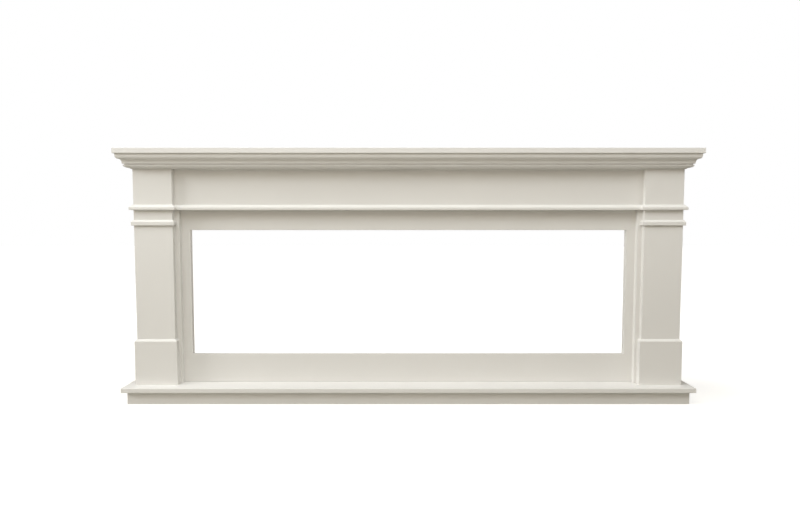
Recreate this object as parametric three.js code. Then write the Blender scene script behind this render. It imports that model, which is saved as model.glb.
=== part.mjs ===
// A wide, low mantelpiece in painted board, for a linear fire: a shelf on a crown moulding, two hollow
// pilasters with a ledge, a collar and a plinth each, a set-back frieze, a further set-back panel with
// the opening for the fire, and a raised hearth on a base.
// Millimetres, +Z up. The front faces -Y and the wall is at +Y. The origin is on the floor, in the
// middle of the width and of the depth.

import * as THREE from "three";

// Driving dimensions: the plan

const pilasterSpan = 1880;      // over the outer sides of both pilasters
const pilasterWidth = 133;
const bodyDepth = 192;          // from the wall to the pilaster faces
const friezeStep = 18;          // from the pilaster faces back to the frieze and the stiles
const panelStep = 18;           // from the frieze back to the fire panel
const stileWidth = 15.5;
const openingWidth = 1520;
const boardThickness = 18;
const glueLine = 0.3;           // the gap that pieces keep where they touch

// Driving dimensions: the heights, from the floor up

const baseHeight = 43;
const hearthThickness = 18;
const railHeight = 100.5;       // the fire panel below the opening
const openingHeight = 436.5;
const headerHeight = 69;        // the fire panel above the opening, up to the ledge
const ledgeHeight = 18;
const friezeHeight = 121;       // the frieze between the ledge and the crown
const shelfThickness = 18;
const plinthHeight = 160;
const collarHeight = 19;
const neckHeight = 34;          // the pilaster between the collar and the ledge

// Driving dimensions: what stands proud of the pilaster faces

const baseProud = 27;
const hearthProud = 42;
const plinthProud = 7;
const collarProud = 7;
const ledgeProud = 11.5;
const shelfProud = 46;

// Driving dimensions: edges

const shelfArris = 1.5;
const hearthNose = 5;
const hearthArris = 1.5;
const plinthBevelWidth = 6;
const plinthBevelHeight = 7;
const ledgeBevelHeight = 9;
const collarBevelHeight = 7;
const capLand = 1.5;            // the flat left on top of the ledge and the collar
const capArris = 1.5;           // the rounding under their noses
const edgeSteps = 4;            // straight steps in each quarter round

// Driving dimensions: the members of the crown, from the bottom up

const crownFoot = { width: 5, height: 2.5 };
const crownBelly = { width: 15.5, height: 6 };
const crownBeadRadius = 1.8;
const crownQuirk = { depth: 2, height: 3.7 };
const crownFillet = { width: 3.5, height: 3 };
const crownCove = { width: 8.5, height: 12.2 };
const crownSoffitWidth = 1;     // the flat under the ovolo
const crownOvolo = { width: 6.5, height: 11 };
const crownFasciaHeight = 6;
const curveSteps = 6;

// Worked out: heights

const hearthTop = baseHeight + hearthThickness;
const openingBottom = hearthTop + railHeight;
const openingTop = openingBottom + openingHeight;
const ledgeBottom = openingTop + headerHeight;
const ledgeTop = ledgeBottom + ledgeHeight;
const collarBottom = ledgeBottom - neckHeight - collarHeight;
const crownBottom = ledgeTop + friezeHeight;
const crownHeight = crownFoot.height + crownBelly.height + 2 * crownBeadRadius + crownQuirk.height
  + crownFillet.height + crownCove.height + crownOvolo.height + crownFasciaHeight;
const shelfBottom = crownBottom + crownHeight;

// Worked out: the plan, as half widths from the middle and depths in front of the wall

const outerHalf = pilasterSpan / 2;
const innerHalf = outerHalf - pilasterWidth;
const friezeDepth = bodyDepth - friezeStep;
const panelDepth = friezeDepth - panelStep;
const shelfDepth = bodyDepth + shelfProud;
const wallY = shelfDepth / 2;

// A plan point: x across, and how far in front of the wall
function planPoint(x, depth) {
  return new THREE.Vector2(x, wallY - depth);
}

const paint = { color: 0xf1ede6, roughness: 0.45, metalness: 0 };

function piece(name, geometry) {
  const mesh = new THREE.Mesh(geometry, new THREE.MeshStandardMaterial(paint));
  mesh.name = name;
  return mesh;
}

// Profiles are drawn as (projection from the face, height above the floor). A board that makes the
// face itself lies behind it, at negative projections.

function boardProfile(bottom, top) {
  const shape = new THREE.Shape();
  shape.moveTo(-boardThickness, bottom);
  shape.lineTo(0, bottom);
  shape.lineTo(0, top);
  shape.lineTo(-boardThickness, top);
  return shape;
}

// The ledge and the collar: a square nose rounded underneath, with a bevel above it
function capProfile(bottom, height, proud, bevelHeight) {
  const shape = new THREE.Shape();
  shape.moveTo(glueLine, bottom);
  shape.lineTo(proud - capArris, bottom);
  shape.absarc(proud - capArris, bottom + capArris, capArris, -Math.PI / 2, 0);
  shape.lineTo(proud, bottom + height - bevelHeight);
  shape.lineTo(capLand, bottom + height);
  shape.lineTo(glueLine, bottom + height);
  return shape;
}

function plinthProfile() {
  const top = hearthTop + plinthHeight;
  const shape = new THREE.Shape();
  shape.moveTo(glueLine, hearthTop + glueLine);
  shape.lineTo(plinthProud, hearthTop + glueLine);
  shape.lineTo(plinthProud, top - plinthBevelHeight);
  shape.lineTo(plinthProud - plinthBevelWidth, top);
  shape.lineTo(glueLine, top);
  return shape;
}

// The crown from the bottom up: foot, belly, bead, quirk, fillet, cove, soffit, ovolo and fascia
function crownProfile() {
  const shape = new THREE.Shape();
  let x = crownFoot.width;
  let y = crownBottom + crownFoot.height;
  shape.moveTo(glueLine, crownBottom);
  shape.lineTo(x, crownBottom);
  shape.lineTo(x, y);
  y += crownBelly.height;
  shape.absellipse(x, y, crownBelly.width, crownBelly.height, -Math.PI / 2, 0);
  x += crownBelly.width;
  y += crownBeadRadius;
  shape.absarc(x, y, crownBeadRadius, -Math.PI / 2, Math.PI / 2);
  y += crownBeadRadius;
  shape.lineTo(x - crownQuirk.depth, y);
  y += crownQuirk.height;
  shape.lineTo(x - crownQuirk.depth, y);
  x += crownFillet.width;
  shape.lineTo(x, y);
  y += crownFillet.height;
  shape.lineTo(x, y);
  x += crownCove.width;
  shape.absellipse(x, y, crownCove.width, crownCove.height, Math.PI, Math.PI / 2, true);
  x += crownSoffitWidth;
  y += crownCove.height;
  shape.lineTo(x, y);
  y += crownOvolo.height;
  shape.absellipse(x, y, crownOvolo.width, crownOvolo.height, -Math.PI / 2, 0);
  x += crownOvolo.width;
  shape.lineTo(x, shelfBottom - glueLine);
  shape.lineTo(glueLine, shelfBottom - glueLine);
  return shape;
}

// One straight length of a profile along the face line from start to end. A mitre of 1 runs on by
// the projection, round an outside corner, -1 stops short by it, in an inside corner, and 0 is square.
function mouldingLength(profile, start, end, startMitre, endMitre) {
  const along = new THREE.Vector3(end.x - start.x, end.y - start.y, 0);
  const length = along.length();
  const direction = along.clone().normalize();
  const up = new THREE.Vector3(0, 0, 1);
  const outward = new THREE.Vector3().crossVectors(up, direction);
  const mitreGap = glueLine / Math.SQRT2;
  const geometry = new THREE.ExtrudeGeometry(profile, {
    depth: 1,
    bevelEnabled: false,
    curveSegments: curveSteps,
  });
  const position = geometry.attributes.position;
  for (let i = 0; i < position.count; i += 1) {
    const projection = position.getX(i);
    const from = Math.abs(startMitre) * mitreGap - startMitre * projection;
    const to = length - Math.abs(endMitre) * mitreGap + endMitre * projection;
    position.setZ(i, from + (to - from) * position.getZ(i));
  }
  const frame = new THREE.Matrix4().makeBasis(outward, up, direction);
  frame.setPosition(start.x, start.y, 0);
  return geometry.applyMatrix4(frame);
}

// A profile carried round a plan path with square corners, one mitred piece for each straight.
// The path runs from right to left, so that the room is on its left hand.
function mouldingRun(names, profile, path) {
  const straights = path.slice(1).map((point, i) => point.clone().sub(path[i]).normalize());
  const mitres = path.map((point, i) => {
    const atAnEnd = i === 0 || i === path.length - 1;
    return atAnEnd ? 0 : -Math.round(straights[i - 1].cross(straights[i]));
  });
  return names.map((name, i) => {
    return piece(name, mouldingLength(profile, path[i], path[i + 1], mitres[i], mitres[i + 1]));
  });
}

// The heights and insets of a board's edge from its underside up, round below and above
function edgeLevels(thickness, lowerRadius, upperRadius) {
  const levels = [];
  for (let i = 0; i <= edgeSteps; i += 1) {
    const angle = (i / edgeSteps) * Math.PI / 2;
    levels.push({
      inset: lowerRadius * (1 - Math.sin(angle)),
      height: lowerRadius * (1 - Math.cos(angle)),
    });
  }
  for (let i = 0; i <= edgeSteps; i += 1) {
    const angle = (i / edgeSteps) * Math.PI / 2;
    levels.push({
      inset: upperRadius * (1 - Math.cos(angle)),
      height: thickness - upperRadius * (1 - Math.sin(angle)),
    });
  }
  return levels;
}

// A level board against the wall, with its front and side edges shaped and its back edge square
function edgedBoard(halfWidth, depth, bottom, levels) {
  const corners = 4;
  const positions = [];
  for (const { inset, height } of levels) {
    const side = halfWidth - inset;
    const frontY = wallY - depth + inset;
    positions.push(-side, frontY, bottom + height);
    positions.push(side, frontY, bottom + height);
    positions.push(side, wallY, bottom + height);
    positions.push(-side, wallY, bottom + height);
  }
  const faces = [0, 2, 1, 0, 3, 2];
  for (let level = 0; level < levels.length - 1; level += 1) {
    for (let corner = 0; corner < corners; corner += 1) {
      const next = (corner + 1) % corners;
      const a = level * corners + corner;
      const b = level * corners + next;
      const c = b + corners;
      const d = a + corners;
      faces.push(a, b, c, a, c, d);
    }
  }
  const top = (levels.length - 1) * corners;
  faces.push(top, top + 1, top + 2, top, top + 2, top + 3);
  const geometry = new THREE.BufferGeometry();
  geometry.setAttribute("position", new THREE.Float32BufferAttribute(positions, 3));
  geometry.setIndex(faces);
  geometry.computeVertexNormals();
  return geometry;
}

// An upright board that faces the room, given by its corners and its back and front depths
function uprightBoard(left, right, bottom, top, backDepth, frontDepth) {
  const geometry = new THREE.BoxGeometry(right - left, frontDepth - backDepth, top - bottom);
  const centreY = wallY - (frontDepth + backDepth) / 2;
  return geometry.translate((left + right) / 2, centreY, (bottom + top) / 2);
}

function shelf() {
  const levels = edgeLevels(shelfThickness, shelfArris, shelfArris);
  return piece("shelf", edgedBoard(outerHalf + shelfProud, shelfDepth, shelfBottom, levels));
}

function hearthSlab() {
  const levels = edgeLevels(hearthThickness, hearthArris, hearthNose);
  const depth = bodyDepth + hearthProud;
  return piece("hearth_slab", edgedBoard(outerHalf + hearthProud, depth, baseHeight, levels));
}

function baseBoards() {
  const half = outerHalf + baseProud;
  const front = bodyDepth + baseProud;
  const path = [planPoint(half, 0), planPoint(half, front), planPoint(-half, front), planPoint(-half, 0)];
  return mouldingRun(["base_right", "base_front", "base_left"], boardProfile(0, baseHeight - glueLine), path);
}

function crown() {
  const path = [
    planPoint(outerHalf, 0),
    planPoint(outerHalf, bodyDepth),
    planPoint(-outerHalf, bodyDepth),
    planPoint(-outerHalf, 0),
  ];
  return mouldingRun(["crown_right", "crown_front", "crown_left"], crownProfile(), path);
}

// The way round the right pilaster, from the wall to an inner end at the given depth
function pilasterPath(innerEndDepth) {
  return [
    planPoint(outerHalf, 0),
    planPoint(outerHalf, bodyDepth),
    planPoint(innerHalf, bodyDepth),
    planPoint(innerHalf, innerEndDepth),
  ];
}

// The same way round the left pilaster, still from right to left
function mirrored(path) {
  return path.map((point) => new THREE.Vector2(-point.x, point.y)).reverse();
}

// Three mitred pieces round each pilaster: on its outer side, its front and its inner side
function roundBothPilasters(name, parts, profile, innerEndDepth) {
  const path = pilasterPath(innerEndDepth);
  const rightNames = parts.map((part) => `${name}_right_${part}`);
  const leftNames = parts.map((part) => `${name}_left_${part}`).reverse();
  return [
    ...mouldingRun(rightNames, profile, path),
    ...mouldingRun(leftNames, profile, mirrored(path)),
  ];
}

function pilasters() {
  const profile = boardProfile(hearthTop + glueLine, shelfBottom - glueLine);
  return roundBothPilasters("pilaster", ["side", "front", "return"], profile, panelDepth + glueLine);
}

function plinths() {
  return roundBothPilasters("plinth", ["outer", "front", "inner"], plinthProfile(), friezeDepth + glueLine);
}

function collars() {
  const profile = capProfile(collarBottom, collarHeight, collarProud, collarBevelHeight);
  return roundBothPilasters("collar", ["outer", "front", "inner"], profile, friezeDepth + glueLine);
}

// The ledge breaks forward round each pilaster and runs on across the foot of the frieze
function ledge() {
  const right = pilasterPath(friezeDepth);
  const names = [
    "ledge_right_outer",
    "ledge_right_front",
    "ledge_right_inner",
    "ledge_centre",
    "ledge_left_inner",
    "ledge_left_front",
    "ledge_left_outer",
  ];
  const profile = capProfile(ledgeBottom, ledgeHeight, ledgeProud, ledgeBevelHeight);
  return mouldingRun(names, profile, [...right, ...mirrored(right)]);
}

function friezeBoard() {
  const half = innerHalf - glueLine;
  const top = shelfBottom - glueLine;
  const back = panelDepth + glueLine;
  return piece("frieze_board", uprightBoard(-half, half, ledgeBottom, top, back, friezeDepth));
}

// The packing that brings the crown's back out from the frieze to the pilaster faces
function crownBacker() {
  const half = innerHalf - glueLine;
  const top = shelfBottom - glueLine;
  const back = friezeDepth + glueLine;
  return piece("crown_backer", uprightBoard(-half, half, crownBottom, top, back, bodyDepth));
}

function stiles() {
  const bottom = hearthTop + glueLine;
  const top = ledgeBottom - glueLine;
  const back = panelDepth + glueLine;
  const outer = innerHalf - glueLine;
  const inner = innerHalf - stileWidth;
  return [
    piece("stile_left", uprightBoard(-outer, -inner, bottom, top, back, friezeDepth)),
    piece("stile_right", uprightBoard(inner, outer, bottom, top, back, friezeDepth)),
  ];
}

// One board between the outer sides of the pilasters, from the hearth to the shelf, cut out for the fire
function firePanel() {
  const half = outerHalf - boardThickness - glueLine;
  const bottom = hearthTop + glueLine;
  const top = shelfBottom - glueLine;
  const board = new THREE.Shape();
  board.moveTo(-half, bottom);
  board.lineTo(half, bottom);
  board.lineTo(half, top);
  board.lineTo(-half, top);
  const openingHalf = openingWidth / 2;
  const opening = new THREE.Path();
  opening.moveTo(-openingHalf, openingBottom);
  opening.lineTo(-openingHalf, openingTop);
  opening.lineTo(openingHalf, openingTop);
  opening.lineTo(openingHalf, openingBottom);
  board.holes.push(opening);
  const geometry = new THREE.ExtrudeGeometry(board, { depth: boardThickness, bevelEnabled: false });
  geometry.rotateX(Math.PI / 2);
  geometry.translate(0, wallY - panelDepth + boardThickness, 0);
  return piece("fire_panel", geometry);
}

const mantelpiece = new THREE.Group();
mantelpiece.name = "mantelpiece";
mantelpiece.add(
  shelf(),
  ...crown(),
  crownBacker(),
  friezeBoard(),
  ...ledge(),
  ...collars(),
  ...pilasters(),
  ...plinths(),
  ...stiles(),
  firePanel(),
  hearthSlab(),
  ...baseBoards(),
);

export default mantelpiece;
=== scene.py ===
"""A wide, low mantelpiece in painted board, for a long linear fire, in a plain pale studio."""

import math

import bmesh
import bpy
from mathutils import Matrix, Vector


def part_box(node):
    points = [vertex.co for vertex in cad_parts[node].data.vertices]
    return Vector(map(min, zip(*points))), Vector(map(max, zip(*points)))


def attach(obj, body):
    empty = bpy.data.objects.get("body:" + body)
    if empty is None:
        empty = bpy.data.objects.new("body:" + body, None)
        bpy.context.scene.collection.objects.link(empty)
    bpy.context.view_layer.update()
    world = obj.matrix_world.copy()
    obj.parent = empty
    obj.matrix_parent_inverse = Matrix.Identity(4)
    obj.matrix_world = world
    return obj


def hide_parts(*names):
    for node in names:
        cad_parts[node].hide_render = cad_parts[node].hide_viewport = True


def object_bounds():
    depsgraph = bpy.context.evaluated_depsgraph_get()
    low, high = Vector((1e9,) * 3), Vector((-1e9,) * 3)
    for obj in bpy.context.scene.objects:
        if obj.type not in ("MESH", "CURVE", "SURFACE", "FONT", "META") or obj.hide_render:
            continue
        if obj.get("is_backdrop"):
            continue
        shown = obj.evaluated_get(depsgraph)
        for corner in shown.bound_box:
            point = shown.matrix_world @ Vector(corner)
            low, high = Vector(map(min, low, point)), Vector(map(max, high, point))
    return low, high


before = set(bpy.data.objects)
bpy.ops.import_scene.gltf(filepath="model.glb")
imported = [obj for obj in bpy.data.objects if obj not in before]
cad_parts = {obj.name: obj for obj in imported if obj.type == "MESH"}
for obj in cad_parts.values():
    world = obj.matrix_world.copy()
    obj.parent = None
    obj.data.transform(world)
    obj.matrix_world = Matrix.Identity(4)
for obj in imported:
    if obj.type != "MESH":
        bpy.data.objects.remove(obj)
cad_low, cad_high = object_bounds()


# The camera stands a little left of the middle, below the ledge, and looks slightly down. Its distance is
# taken from the faces of the pilasters.
CAMERA_DISTANCE = 1.981
CAMERA_HEIGHT = 0.618
CAMERA_LEFT = 0.029
CAMERA_TILT = 3.63
LENS_MM = 26.0

pilaster_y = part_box("pilaster_right_front")[0].y
camera_data = bpy.data.cameras.new("camera")
camera_data.lens = LENS_MM
camera_data.sensor_width = 36.0
camera = bpy.data.objects.new("camera", camera_data)
camera.location = (-CAMERA_LEFT, pilaster_y - CAMERA_DISTANCE, CAMERA_HEIGHT)
camera.rotation_euler = (math.radians(90.0 - CAMERA_TILT), 0.0, 0.0)
bpy.context.collection.objects.link(camera)
bpy.context.scene.camera = camera
bpy.context.scene.view_settings.view_transform = "Standard"


# The studio: a wide pale floor, white surroundings, broad lamps overhead and high on the left, one
# beside it on the left, a weaker one on the right, and low soft fills in front and behind.
FLOOR_REACH = 14.0
FLOOR_TONE = (0.46, 0.445, 0.40, 1.0)
FLOOR_ROUGHNESS = 0.9
FLOOR_LIFT = 1.0
# The floor's glow close round the part is lower, which paints a soft shade round its foot.
PAINTED_SHADE_LIFT = 0.72
PAINTED_SHADE_REACH = 0.5
SKY_AT_HORIZON = (0.02, 0.018, 0.015, 1.0)
SKY_HALF_WAY_UP = (0.28, 0.255, 0.21, 1.0)
SKY_OVERHEAD = (0.05, 0.046, 0.04, 1.0)


def worked(tree, operation, *values):
    """A maths node in a tree, fed with numbers or with other nodes' results."""
    node = tree.nodes.new("ShaderNodeMath")
    node.operation = operation
    for socket, value in zip(node.inputs, values):
        if isinstance(value, float):
            socket.default_value = value
        else:
            tree.links.new(value, socket)
    return node.outputs[0]


def studio_floor():
    """A wide floor that glows white to the camera, and glows less close round the part: a painted shade
    round its foot, over the lamps' real shadow.
    """
    mesh = bpy.data.meshes.new("floor")
    reach = FLOOR_REACH
    corners = [(-reach, -reach, 0), (reach, -reach, 0), (reach, reach, 0), (-reach, reach, 0)]
    mesh.from_pydata(corners, [], [(0, 1, 2, 3)])
    floor = bpy.data.objects.new("floor", mesh)
    bpy.context.collection.objects.link(floor)
    material = bpy.data.materials.new("pale floor")
    material.use_nodes = True
    tree = material.node_tree
    nodes, links = tree.nodes, tree.links
    shader = nodes["Principled BSDF"]
    shader.inputs["Base Color"].default_value = FLOOR_TONE
    shader.inputs["Roughness"].default_value = FLOOR_ROUGHNESS
    shader.inputs["Emission Color"].default_value = (1.0, 1.0, 1.0, 1.0)
    place = nodes.new("ShaderNodeTexCoord")
    split = nodes.new("ShaderNodeSeparateXYZ")
    links.new(place.outputs["Object"], split.inputs[0])
    across = worked(tree, "ABSOLUTE", split.outputs["X"])
    outside = worked(tree, "MAXIMUM", worked(tree, "SUBTRACT", across, cad_high.x), 0.0)
    offset = nodes.new("ShaderNodeCombineXYZ")
    links.new(outside, offset.inputs["X"])
    links.new(split.outputs["Y"], offset.inputs["Y"])
    away = nodes.new("ShaderNodeVectorMath")
    away.operation = "LENGTH"
    links.new(offset.outputs[0], away.inputs[0])
    # Painted shade: the camera-only glow drops towards the part's footprint, so the floor reads darker
    # round it.
    lift = nodes.new("ShaderNodeMapRange")
    lift.interpolation_type = "SMOOTHSTEP"
    lift.inputs["From Min"].default_value = cad_high.y
    lift.inputs["From Max"].default_value = cad_high.y + PAINTED_SHADE_REACH
    lift.inputs["To Min"].default_value = PAINTED_SHADE_LIFT
    lift.inputs["To Max"].default_value = FLOOR_LIFT
    links.new(away.outputs["Value"], lift.inputs["Value"])
    path = nodes.new("ShaderNodeLightPath")
    seen = worked(tree, "MULTIPLY", path.outputs["Is Camera Ray"], lift.outputs["Result"])
    links.new(seen, shader.inputs["Emission Strength"])
    mesh.materials.append(material)
    floor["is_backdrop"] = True


def studio_surroundings():
    """Soft light from all round, strongest half way up, and plain white to the camera."""
    world = bpy.data.worlds.new("surroundings")
    world.use_nodes = True
    nodes, links = world.node_tree.nodes, world.node_tree.links
    fill = nodes["Background"]
    way = nodes.new("ShaderNodeTexCoord")
    upward = nodes.new("ShaderNodeSeparateXYZ")
    links.new(way.outputs["Generated"], upward.inputs[0])
    sky = nodes.new("ShaderNodeValToRGB")
    sky.color_ramp.elements[0].color = SKY_AT_HORIZON
    sky.color_ramp.elements[1].color = SKY_OVERHEAD
    sky.color_ramp.elements.new(0.5).color = SKY_HALF_WAY_UP
    links.new(upward.outputs["Z"], sky.inputs["Fac"])
    links.new(sky.outputs["Color"], fill.inputs["Color"])
    seen = nodes.new("ShaderNodeBackground")
    seen.inputs["Color"].default_value = (1.0, 1.0, 1.0, 1.0)
    path = nodes.new("ShaderNodeLightPath")
    mix = nodes.new("ShaderNodeMixShader")
    links.new(path.outputs["Is Camera Ray"], mix.inputs["Fac"])
    links.new(fill.outputs[0], mix.inputs[1])
    links.new(seen.outputs[0], mix.inputs[2])
    links.new(mix.outputs[0], nodes["World Output"].inputs["Surface"])
    bpy.context.scene.world = world


def lamp(name, place, target, width, height, power, colour):
    """A flat soft lamp, sizes in metres and power in watts, turned towards its target."""
    data = bpy.data.lights.new(name, "AREA")
    data.shape = "RECTANGLE"
    data.size, data.size_y = width, height
    data.energy = power
    data.color = colour
    obj = bpy.data.objects.new(name, data)
    obj.location = place
    obj.rotation_euler = (Vector(target) - Vector(place)).to_track_quat("-Z", "Y").to_euler()
    bpy.context.collection.objects.link(obj)


studio_floor()
studio_surroundings()
lamp("key_overhead", (-0.6, -0.9, 2.9), (-0.2, 0.0, 0.4), 2.4, 1.0, 34.5, (0.97, 1.0, 1.0))
lamp("key_high_left", (-1.5, -1.7, 2.5), (-0.3, 0.0, 0.4), 1.8, 1.2, 15.0, (0.92, 0.98, 1.0))
lamp("side_left", (-5.0, -1.5, 2.3), (0.3, 0.0, 0.5), 1.6, 1.6, 121.0, (1.0, 0.985, 0.96))
lamp("high_right", (1.9, -1.6, 2.4), (0.3, 0.0, 0.4), 1.4, 1.2, 22.5, (1.0, 1.0, 0.98))
lamp("front_fill", (-0.3, -2.6, 1.5), (0.0, 0.0, 0.4), 3.6, 1.6, 14.0, (1.0, 0.86, 0.68))
lamp("back_fill", (0.0, 3.2, 0.8), (0.0, 0.0, 0.5), 3.2, 1.2, 24.0, (1.0, 0.98, 0.95))


# Satin paint on fibreboard. The film is sprayed, so it has a fine orange peel and barely changes in tone.
# Faces against the wall and inside the recess are left as bare brown board, with some overspray.
PAINT = (0.80, 0.79, 0.77, 1.0)
SATIN = 0.5
PEEL_STRENGTH = 0.6
TONE_CLOUDS_PER_METRE = 3.5
BARE_BOARD = (0.47, 0.34, 0.215, 1.0)
BARE_ROUGHNESS = 0.85
FIBRES_PER_METRE = 420.0
FIBRE_SHADE = 0.72
OVERSPRAY_PER_METRE = 7.0
OVERSPRAY_COVER = 0.18
FACING_BACK = 0.7

hearth_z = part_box("hearth_slab")[1].z
shelf_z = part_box("shelf")[0].z


def paint_film_group():
    """Colour, roughness and height of a sprayed film, for a paint colour and a size of orange peel."""
    group = bpy.data.node_groups.new("paint film", "ShaderNodeTree")
    sockets = group.interface
    sockets.new_socket("Vector", in_out="INPUT", socket_type="NodeSocketVector")
    sockets.new_socket("Paint", in_out="INPUT", socket_type="NodeSocketColor")
    sockets.new_socket("Gloss Roughness", in_out="INPUT", socket_type="NodeSocketFloat")
    sockets.new_socket("Peel Per Metre", in_out="INPUT", socket_type="NodeSocketFloat")
    sockets.new_socket("Tone Change", in_out="INPUT", socket_type="NodeSocketFloat")
    sockets.new_socket("Color", in_out="OUTPUT", socket_type="NodeSocketColor")
    sockets.new_socket("Roughness", in_out="OUTPUT", socket_type="NodeSocketFloat")
    sockets.new_socket("Height", in_out="OUTPUT", socket_type="NodeSocketFloat")
    nodes, links = group.nodes, group.links
    given = nodes.new("NodeGroupInput")
    result = nodes.new("NodeGroupOutput")

    peel = nodes.new("ShaderNodeTexNoise")
    peel.inputs["Detail"].default_value = 2.0
    links.new(given.outputs["Vector"], peel.inputs["Vector"])
    links.new(given.outputs["Peel Per Metre"], peel.inputs["Scale"])
    links.new(peel.outputs["Fac"], result.inputs["Height"])

    cloud = nodes.new("ShaderNodeTexNoise")
    cloud.inputs["Scale"].default_value = TONE_CLOUDS_PER_METRE
    cloud.inputs["Detail"].default_value = 3.0
    links.new(given.outputs["Vector"], cloud.inputs["Vector"])
    swing = nodes.new("ShaderNodeMapRange")
    swing.inputs["From Min"].default_value = 0.3
    swing.inputs["From Max"].default_value = 0.7
    swing.inputs["To Min"].default_value = -1.0
    swing.inputs["To Max"].default_value = 1.0
    links.new(cloud.outputs["Fac"], swing.inputs["Value"])
    amount = worked(group, "MULTIPLY", swing.outputs["Result"], given.outputs["Tone Change"])
    tinted = nodes.new("ShaderNodeVectorMath")
    tinted.operation = "SCALE"
    links.new(given.outputs["Paint"], tinted.inputs[0])
    links.new(worked(group, "ADD", 1.0, amount), tinted.inputs["Scale"])
    links.new(tinted.outputs["Vector"], result.inputs["Color"])

    sheen = worked(group, "MULTIPLY_ADD", amount, 2.0, given.outputs["Gloss Roughness"])
    links.new(sheen, result.inputs["Roughness"])
    return group


def bare_back_group():
    """A mask of the faces that were never painted: 1 towards the wall and inside the recess."""
    group = bpy.data.node_groups.new("bare back", "ShaderNodeTree")
    sockets = group.interface
    sockets.new_socket("Vector", in_out="INPUT", socket_type="NodeSocketVector")
    sockets.new_socket("Normal", in_out="INPUT", socket_type="NodeSocketVector")
    sockets.new_socket("Mask", in_out="OUTPUT", socket_type="NodeSocketFloat")
    nodes, links = group.nodes, group.links
    given = nodes.new("NodeGroupInput")
    result = nodes.new("NodeGroupOutput")

    facing = nodes.new("ShaderNodeSeparateXYZ")
    links.new(given.outputs["Normal"], facing.inputs[0])
    place = nodes.new("ShaderNodeSeparateXYZ")
    links.new(given.outputs["Vector"], place.inputs[0])
    backward = worked(group, "GREATER_THAN", facing.outputs["Y"], FACING_BACK)
    panel_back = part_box("fire_panel")[1].y
    recess_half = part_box("fire_panel")[1].x + 0.001
    behind = worked(group, "GREATER_THAN", place.outputs["Y"], panel_back - 0.0005)
    within = worked(group, "LESS_THAN", worked(group, "ABSOLUTE", place.outputs["X"]), recess_half)
    above = worked(group, "GREATER_THAN", place.outputs["Z"], hearth_z - 0.001)
    below = worked(group, "LESS_THAN", place.outputs["Z"], shelf_z + 0.001)
    in_plan = worked(group, "MULTIPLY", behind, within)
    inside = worked(group, "MULTIPLY", in_plan, worked(group, "MULTIPLY", above, below))
    bare = worked(group, "MAXIMUM", backward, inside)
    drift = nodes.new("ShaderNodeTexNoise")
    drift.inputs["Scale"].default_value = OVERSPRAY_PER_METRE
    drift.inputs["Detail"].default_value = 5.0
    links.new(given.outputs["Vector"], drift.inputs["Vector"])
    overspray = nodes.new("ShaderNodeMapRange")
    overspray.inputs["From Min"].default_value = 0.50
    overspray.inputs["From Max"].default_value = 0.75
    overspray.inputs["To Min"].default_value = 1.0
    overspray.inputs["To Max"].default_value = 1.0 - OVERSPRAY_COVER
    links.new(drift.outputs["Fac"], overspray.inputs["Value"])
    links.new(worked(group, "MULTIPLY", bare, overspray.outputs["Result"]), result.inputs["Mask"])
    return group


paint_film = paint_film_group()
bare_back = bare_back_group()


def painted(name, peel_per_metre, peel_depth, tone_change):
    """Satin paint over board, with the unpainted faces showing the board's fibre."""
    material = bpy.data.materials.new(name)
    material.use_nodes = True
    nodes, links = material.node_tree.nodes, material.node_tree.links
    shader = nodes["Principled BSDF"]
    shader.inputs["Specular IOR Level"].default_value = 0.35
    place = nodes.new("ShaderNodeTexCoord")
    film = nodes.new("ShaderNodeGroup")
    film.node_tree = paint_film
    film.inputs["Paint"].default_value = PAINT
    film.inputs["Gloss Roughness"].default_value = SATIN
    film.inputs["Peel Per Metre"].default_value = peel_per_metre
    film.inputs["Tone Change"].default_value = tone_change
    links.new(place.outputs["Object"], film.inputs["Vector"])

    bare = nodes.new("ShaderNodeGroup")
    bare.node_tree = bare_back
    facing = nodes.new("ShaderNodeNewGeometry")
    links.new(place.outputs["Object"], bare.inputs["Vector"])
    links.new(facing.outputs["True Normal"], bare.inputs["Normal"])
    fibre = nodes.new("ShaderNodeTexNoise")
    fibre.inputs["Scale"].default_value = FIBRES_PER_METRE
    fibre.inputs["Detail"].default_value = 4.0
    links.new(place.outputs["Object"], fibre.inputs["Vector"])
    brown = nodes.new("ShaderNodeMix")
    brown.data_type = "RGBA"
    brown.inputs["A"].default_value = BARE_BOARD
    brown.inputs["B"].default_value = tuple(FIBRE_SHADE * c for c in BARE_BOARD[:3]) + (1.0,)
    links.new(fibre.outputs["Fac"], brown.inputs["Factor"])

    colour = nodes.new("ShaderNodeMix")
    colour.data_type = "RGBA"
    links.new(bare.outputs["Mask"], colour.inputs["Factor"])
    links.new(film.outputs["Color"], colour.inputs["A"])
    links.new(brown.outputs["Result"], colour.inputs["B"])
    links.new(colour.outputs["Result"], shader.inputs["Base Color"])
    roughness = nodes.new("ShaderNodeMix")
    roughness.data_type = "FLOAT"
    roughness.inputs["B"].default_value = BARE_ROUGHNESS
    links.new(bare.outputs["Mask"], roughness.inputs["Factor"])
    links.new(film.outputs["Roughness"], roughness.inputs["A"])
    links.new(roughness.outputs["Result"], shader.inputs["Roughness"])
    bump = nodes.new("ShaderNodeBump")
    bump.inputs["Distance"].default_value = peel_depth
    bump.inputs["Strength"].default_value = PEEL_STRENGTH
    links.new(film.outputs["Height"], bump.inputs["Height"])
    links.new(bump.outputs["Normal"], shader.inputs["Normal"])
    return material


board_paint = painted("painted board", peel_per_metre=520.0, peel_depth=0.00003, tone_change=0.012)
moulding_paint = painted("painted moulding", peel_per_metre=640.0, peel_depth=0.00002, tone_change=0.010)


# The fire panel: one board standing on the hearth between the pilaster sides, with the opening for the
# fire sawn out of it. Its sawn edges are sanded to a small round before painting.
BOARD_ARRIS = 0.0010
ARRIS_STEPS = 3
SHARP = math.radians(28.0)
MERGED = 0.00001


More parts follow.
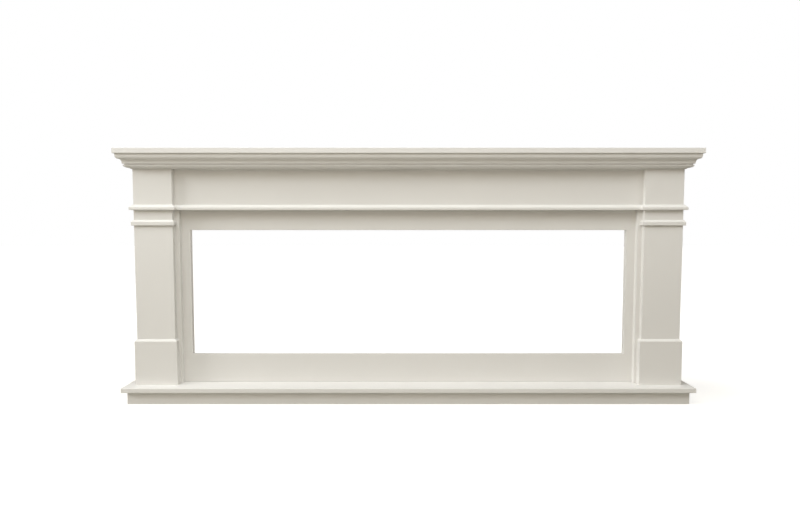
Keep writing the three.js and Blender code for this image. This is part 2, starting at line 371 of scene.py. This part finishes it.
def finished(name, mesh, material, arris):
    """Rounds a mesh's sharp edges, smooths it without dulling its flats, and makes it a piece."""
    work = bmesh.new()
    work.from_mesh(mesh)
    bmesh.ops.remove_doubles(work, verts=work.verts, dist=MERGED)
    bmesh.ops.recalc_face_normals(work, faces=work.faces)
    flat = [edge for edge in work.edges if len(edge.link_faces) == 2 and edge.calc_face_angle() < 0.001]
    bmesh.ops.dissolve_edges(work, edges=flat, use_verts=True)
    for face in work.faces:
        face.smooth = True
    for edge in work.edges:
        edge.smooth = arris > 0.0 or edge.calc_face_angle() < SHARP
    plain = bpy.data.meshes.new(name)
    work.to_mesh(plain)
    work.free()
    plain.materials.clear()
    plain.materials.append(material)
    draft = bpy.data.objects.new(name + "_draft", plain)
    bpy.context.collection.objects.link(draft)
    if arris > 0.0:
        rounding = draft.modifiers.new("arris", "BEVEL")
        rounding.width = arris
        rounding.segments = ARRIS_STEPS
        rounding.limit_method = "ANGLE"
        rounding.angle_limit = SHARP
        rounding.use_clamp_overlap = True
    flats = draft.modifiers.new("flats", "WEIGHTED_NORMAL")
    flats.mode = "FACE_AREA"
    flats.weight = 60
    flats.keep_sharp = True
    depsgraph = bpy.context.evaluated_depsgraph_get()
    result = bpy.data.meshes.new_from_object(draft.evaluated_get(depsgraph))
    bpy.data.objects.remove(draft)
    result.name = name
    piece = bpy.data.objects.new(name, result)
    bpy.context.collection.objects.link(piece)
    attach(piece, "root")
    return piece


def copied(node):
    """A plain copy of a frame node's mesh."""
    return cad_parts[node].data.copy()


fire_board = finished("fire_board", copied("fire_panel"), board_paint, BOARD_ARRIS)
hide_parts("fire_panel")


# The stiles and the frieze: narrow strips beside the pilasters and a wide board between their heads, all
# planted on the fire panel. The joints with their neighbours are filled, so each is bedded into them.
BEDDING = 0.0006
STILE_BEDDING = 0.001

frieze_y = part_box("frieze_board")[0].y
panel_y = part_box("fire_panel")[0].y


def planted_board(name, nodes, left, right, bottom, top, front, back):
    """A rectangular board between the given faces, with its arrises rounded."""
    corners = [(x, y, z) for z in (bottom, top) for y in (front, back) for x in (left, right)]
    mesh = bpy.data.meshes.new(name)
    mesh.from_pydata(corners, [], [(0, 1, 5, 4), (3, 2, 6, 7), (2, 0, 4, 6), (1, 3, 7, 5), (0, 2, 3, 1),
                                   (4, 5, 7, 6)])
    piece = finished(name, mesh, board_paint, BOARD_ARRIS)
    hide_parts(*nodes)
    return piece


for side in ("left", "right"):
    low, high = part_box("stile_" + side)
    left = low.x - (STILE_BEDDING if side == "left" else 0.0)
    right = high.x + (STILE_BEDDING if side == "right" else 0.0)
    planted_board("stile_strip_" + side, ["stile_" + side], left, right, low.z - BEDDING, high.z + BEDDING,
                  low.y, panel_y + BEDDING)

frieze_low, frieze_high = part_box("frieze_board")
planted_board("frieze", ["frieze_board"], frieze_low.x - BEDDING, frieze_high.x + BEDDING, frieze_low.z,
              shelf_z + BEDDING, frieze_low.y, panel_y + BEDDING)

backer_low, backer_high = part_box("crown_backer")
planted_board("crown_packing", ["crown_backer"], backer_low.x - BEDDING, backer_high.x + BEDDING,
              backer_low.z, shelf_z + BEDDING, backer_low.y, frieze_y + BEDDING)


# The pilasters: hollow boxes of three mitred boards each, an outer side back to the wall, a front and an
# inner return. Everything from here to the crown is one section carried round a plan path with mitred
# corners, as a joiner runs it, so one node tree makes them all.
PILASTER_ARRIS = 0.0012

wall_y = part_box("pilaster_right_side")[1].y
outer_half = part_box("pilaster_right_side")[1].x
inner_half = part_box("pilaster_right_front")[0].x
board_thickness = outer_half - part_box("pilaster_right_side")[0].x


def run_tree():
    """Carries the outline of the Profile object along a path mesh whose points store their mitre."""
    tree = bpy.data.node_groups.new("mitred run", "GeometryNodeTree")
    sockets = tree.interface
    sockets.new_socket("Geometry", in_out="INPUT", socket_type="NodeSocketGeometry")
    sockets.new_socket("Profile", in_out="INPUT", socket_type="NodeSocketObject")
    sockets.new_socket("Path Points", in_out="INPUT", socket_type="NodeSocketInt")
    sockets.new_socket("Finish", in_out="INPUT", socket_type="NodeSocketMaterial")
    sockets.new_socket("Geometry", in_out="OUTPUT", socket_type="NodeSocketGeometry")
    nodes, links = tree.nodes, tree.links
    given = nodes.new("NodeGroupInput")
    result = nodes.new("NodeGroupOutput")

    # A straight run first, one unit along Y for each point of the path
    line = nodes.new("GeometryNodeMeshLine")
    line.inputs["Offset"].default_value = (0.0, 1.0, 0.0)
    links.new(given.outputs["Path Points"], line.inputs["Count"])
    spine = nodes.new("GeometryNodeMeshToCurve")
    links.new(line.outputs["Mesh"], spine.inputs["Mesh"])
    profile = nodes.new("GeometryNodeObjectInfo")
    links.new(given.outputs["Profile"], profile.inputs["Object"])
    outline = nodes.new("GeometryNodeMeshToCurve")
    links.new(profile.outputs["Geometry"], outline.inputs["Mesh"])
    straight = nodes.new("GeometryNodeCurveToMesh")
    straight.inputs["Fill Caps"].default_value = True
    links.new(spine.outputs["Curve"], straight.inputs["Curve"])
    links.new(outline.outputs["Curve"], straight.inputs["Profile Curve"])

    # Then each of its points goes to its own corner of the path: out by the mitre, and up
    here = nodes.new("GeometryNodeInputPosition")
    split = nodes.new("ShaderNodeSeparateXYZ")
    links.new(here.outputs[0], split.inputs[0])
    step = nodes.new("FunctionNodeFloatToInt")
    links.new(split.outputs["Y"], step.inputs[0])
    mitre = nodes.new("GeometryNodeInputNamedAttribute")
    mitre.data_type = "FLOAT_VECTOR"
    mitre.inputs["Name"].default_value = "mitre"
    corner_sample = nodes.new("GeometryNodeSampleIndex")
    corner_sample.data_type = "FLOAT_VECTOR"
    mitre_sample = nodes.new("GeometryNodeSampleIndex")
    mitre_sample.data_type = "FLOAT_VECTOR"
    for sample, value in ((corner_sample, here.outputs[0]), (mitre_sample, mitre.outputs["Attribute"])):
        links.new(given.outputs["Geometry"], sample.inputs["Geometry"])
        links.new(value, sample.inputs["Value"])
        links.new(step.outputs[0], sample.inputs["Index"])
    outward = nodes.new("ShaderNodeVectorMath")
    outward.operation = "SCALE"
    links.new(mitre_sample.outputs["Value"], outward.inputs[0])
    links.new(split.outputs["X"], outward.inputs["Scale"])
    rise = nodes.new("ShaderNodeMath")
    rise.operation = "MULTIPLY"
    rise.inputs[1].default_value = -1.0
    links.new(split.outputs["Z"], rise.inputs[0])
    upward = nodes.new("ShaderNodeCombineXYZ")
    links.new(rise.outputs[0], upward.inputs["Z"])
    placed = nodes.new("ShaderNodeVectorMath")
    placed.operation = "ADD"
    links.new(outward.outputs[0], placed.inputs[0])
    links.new(upward.outputs[0], placed.inputs[1])
    moved = nodes.new("ShaderNodeVectorMath")
    moved.operation = "ADD"
    links.new(corner_sample.outputs["Value"], moved.inputs[0])
    links.new(placed.outputs[0], moved.inputs[1])
    bent = nodes.new("GeometryNodeSetPosition")
    links.new(straight.outputs["Mesh"], bent.inputs["Geometry"])
    links.new(moved.outputs[0], bent.inputs["Position"])
    whole = nodes.new("GeometryNodeRealizeInstances")
    links.new(bent.outputs["Geometry"], whole.inputs["Geometry"])
    coat = nodes.new("GeometryNodeSetMaterial")
    links.new(whole.outputs["Geometry"], coat.inputs["Geometry"])
    links.new(given.outputs["Finish"], coat.inputs["Material"])
    links.new(coat.outputs["Geometry"], result.inputs["Geometry"])
    return tree


mitred_run = run_tree()


def mitres(path):
    """A plan path's points, and for each the way to a line one metre proud of the faces it joins."""
    points = [Vector((x, y, 0.0)) for x, y in path]
    ways = [(after - before).normalized() for before, after in zip(points, points[1:])]
    faces = [Vector((0, 0, 1)).cross(way) for way in ways]
    result = []
    for before, after in zip([faces[0]] + faces, faces + [faces[-1]]):
        result.append((before + after) / (1.0 + before.dot(after)))
    return points, result


def run(name, nodes, profile, path, material, arris):
    """One piece: a profile of (projection, height) points, carried round the path from right to left."""
    points, offsets = mitres(path)
    outline_mesh = bpy.data.meshes.new(name + "_profile")
    count = len(profile)
    closed = [(i, (i + 1) % count) for i in range(count)]
    outline_mesh.from_pydata([(x, z, 0.0) for x, z in profile], closed, [])
    outline = bpy.data.objects.new(name + "_profile", outline_mesh)
    path_mesh = bpy.data.meshes.new(name + "_path")
    path_mesh.from_pydata(points, [(i, i + 1) for i in range(len(points) - 1)], [])
    stored = path_mesh.attributes.new("mitre", "FLOAT_VECTOR", "POINT")
    for i, offset in enumerate(offsets):
        stored.data[i].vector = offset
    carrier = bpy.data.objects.new(name + "_run", path_mesh)
    bpy.context.collection.objects.link(carrier)
    bpy.context.collection.objects.link(outline)
    modifier = carrier.modifiers.new("mitred run", "NODES")
    modifier.node_group = mitred_run
    sockets = mitred_run.interface.items_tree
    inputs = {socket.name: socket.identifier for socket in sockets if socket.in_out == "INPUT"}
    modifier[inputs["Profile"]] = outline
    modifier[inputs["Path Points"]] = len(points)
    modifier[inputs["Finish"]] = material
    depsgraph = bpy.context.evaluated_depsgraph_get()
    mesh = bpy.data.meshes.new_from_object(carrier.evaluated_get(depsgraph))
    carrier.modifiers.remove(modifier)
    bpy.data.objects.remove(carrier)
    bpy.data.objects.remove(outline)
    piece = finished(name, mesh, material, arris)
    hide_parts(*nodes)
    return piece


def round_pilaster(side, inner_end):
    """The way round one pilaster, from right to left: wall, front corners, and the inner end's depth."""
    outer = [(outer_half, wall_y), (outer_half, pilaster_y)]
    inner = [(inner_half, pilaster_y), (inner_half, inner_end)]
    right = outer + inner
    return right if side == "right" else [(-x, y) for x, y in reversed(right)]


pilaster_section = [
    (-board_thickness, hearth_z - BEDDING),
    (0.0, hearth_z - BEDDING),
    (0.0, shelf_z + BEDDING),
    (-board_thickness, shelf_z + BEDDING),
]
for side in ("left", "right"):
    run("pilaster_box_" + side, [f"pilaster_{side}_{part}" for part in ("side", "front", "return")],
        pilaster_section, round_pilaster(side, panel_y + BEDDING), board_paint, PILASTER_ARRIS)


# The plinths: thin boards planted round the foot of each pilaster, bevelled on their top edge and
# mitred at the corners, then filled and painted with it.
PLINTH_BEVEL = 0.006
PLINTH_BEVEL_RISE = 0.007
PLINTH_ARRIS = 0.0008

plinth_low, plinth_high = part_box("plinth_right_front")
plinth_proud = pilaster_y - plinth_low.y
plinth_section = [
    (-BEDDING, hearth_z - BEDDING),
    (plinth_proud, hearth_z - BEDDING),
    (plinth_proud, plinth_high.z - PLINTH_BEVEL_RISE),
    (plinth_proud - PLINTH_BEVEL, plinth_high.z),
    (-BEDDING, plinth_high.z),
]
for side in ("left", "right"):
    run("plinth_block_" + side, [f"plinth_{side}_{part}" for part in ("outer", "front", "inner")],
        plinth_section, round_pilaster(side, frieze_y + BEDDING), board_paint, PLINTH_ARRIS)


# The collars and the ledge: one small cap moulding in two sizes, with a square nose under a bevel. The
# collars stop against the stiles. The ledge turns back at both pilasters and runs on under the frieze.
CAP_LAND = 0.0015
CAP_NOSE_RADIUS = 0.0015
CAP_ARRIS = 0.0005
LEDGE_BEVEL_RISE = 0.009
COLLAR_BEVEL_RISE = 0.007
CURVE_STEPS = 5


def arc(centre_x, centre_z, radius_x, radius_z, start, end, steps=CURVE_STEPS):
    """Points along an ellipse's arc between two angles in degrees, ends included."""
    angles = [math.radians(start + (end - start) * i / steps) for i in range(steps + 1)]
    return [(centre_x + radius_x * math.cos(a), centre_z + radius_z * math.sin(a)) for a in angles]


def cap_section(bottom, top, proud, bevel_rise):
    """The cap moulding's section: a nose rounded underneath, and a bevel back to a narrow land."""
    radius = CAP_NOSE_RADIUS
    nose = arc(proud - radius, bottom + radius, radius, radius, -90.0, 0.0)
    return [
        (-BEDDING, bottom),
        *nose,
        (proud, top - bevel_rise),
        (CAP_LAND, top),
        (-BEDDING, top),
    ]


collar_low, collar_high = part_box("collar_right_front")
collar_section = cap_section(collar_low.z, collar_high.z, pilaster_y - collar_low.y, COLLAR_BEVEL_RISE)
for side in ("left", "right"):
    run("collar_moulding_" + side, [f"collar_{side}_{part}" for part in ("outer", "front", "inner")],
        collar_section, round_pilaster(side, frieze_y + BEDDING), moulding_paint, CAP_ARRIS)

ledge_low, ledge_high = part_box("ledge_right_front")
ledge_section = cap_section(ledge_low.z, ledge_high.z, pilaster_y - ledge_low.y, LEDGE_BEVEL_RISE)
ledge_nodes = ["ledge_centre"]
for side in ("left", "right"):
    ledge_nodes += [f"ledge_{side}_{part}" for part in ("outer", "front", "inner")]
ledge_path = round_pilaster("right", frieze_y) + round_pilaster("left", frieze_y)
run("ledge_moulding", ledge_nodes, ledge_section, ledge_path, moulding_paint, CAP_ARRIS)


# The crown: three lengths of one moulding, mitred at the front corners, under the shelf. From the bottom
# up it has a foot, a belly, a bead, a quirk, a fillet, a cove, an ovolo and a fascia.
FOOT = (0.005, 0.0025)
BELLY = (0.0155, 0.006)
BEAD_RADIUS = 0.0018
QUIRK = (0.002, 0.0037)
CROWN_FILLET = (0.0035, 0.003)
COVE = (0.0085, 0.0122)
SOFFIT = 0.001
OVOLO = (0.0065, 0.011)
CROWN_ARRIS = 0.0004


def crown_section(bottom, top):
    """The crown's members from the bottom up, each a (width, height) step from the last."""
    x, z = FOOT[0], bottom + FOOT[1]
    points = [(-BEDDING, bottom), (x, bottom), (x, z)]
    z += BELLY[1]
    points += arc(x, z, *BELLY, -90.0, 0.0)[1:]
    x += BELLY[0]
    z += BEAD_RADIUS
    points += arc(x, z, BEAD_RADIUS, BEAD_RADIUS, -90.0, 90.0, 2 * CURVE_STEPS)[1:]
    z += BEAD_RADIUS
    points.append((x - QUIRK[0], z))
    z += QUIRK[1]
    points.append((x - QUIRK[0], z))
    x += CROWN_FILLET[0]
    points.append((x, z))
    z += CROWN_FILLET[1]
    points.append((x, z))
    x += COVE[0]
    points += arc(x, z, *COVE, 180.0, 90.0)[1:]
    x += SOFFIT
    z += COVE[1]
    points.append((x, z))
    z += OVOLO[1]
    points += arc(x, z, *OVOLO, -90.0, 0.0)[1:]
    x += OVOLO[0]
    points += [(x, top), (-BEDDING, top)]
    return points


def round_front(half, front_y):
    """The way round the whole front, from the wall on the right to the wall on the left."""
    return [(half, wall_y), (half, front_y), (-half, front_y), (-half, wall_y)]


crown_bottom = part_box("crown_front")[0].z
run("crown_moulding", ["crown_left", "crown_front", "crown_right"],
    crown_section(crown_bottom, shelf_z + BEDDING), round_front(outer_half, pilaster_y), moulding_paint,
    CROWN_ARRIS)


# The shelf and the hearth slab: two boards of the same thickness, glued down on to what carries them. The
# shelf's edges are only sanded, and the slab's front and ends have a rounded nose.
shelf_board = finished("shelf_board", copied("shelf"), board_paint, 0.0)
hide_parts("shelf")
slab = finished("hearth_board", copied("hearth_slab"), board_paint, 0.0)
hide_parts("hearth_slab")


# The base: three boards on edge under the slab, mitred at the front corners and set back from its nose.
# They stand on the floor and are glued up into the slab.
base_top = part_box("hearth_slab")[0].z + BEDDING
base_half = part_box("base_right")[1].x
base_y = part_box("base_front")[0].y
base_section = [
    (-board_thickness, 0.0),
    (0.0, 0.0),
    (0.0, base_top),
    (-board_thickness, base_top),
]
run("base_boards", ["base_left", "base_front", "base_right"], base_section, round_front(base_half, base_y),
    board_paint, BOARD_ARRIS)


low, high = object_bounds()
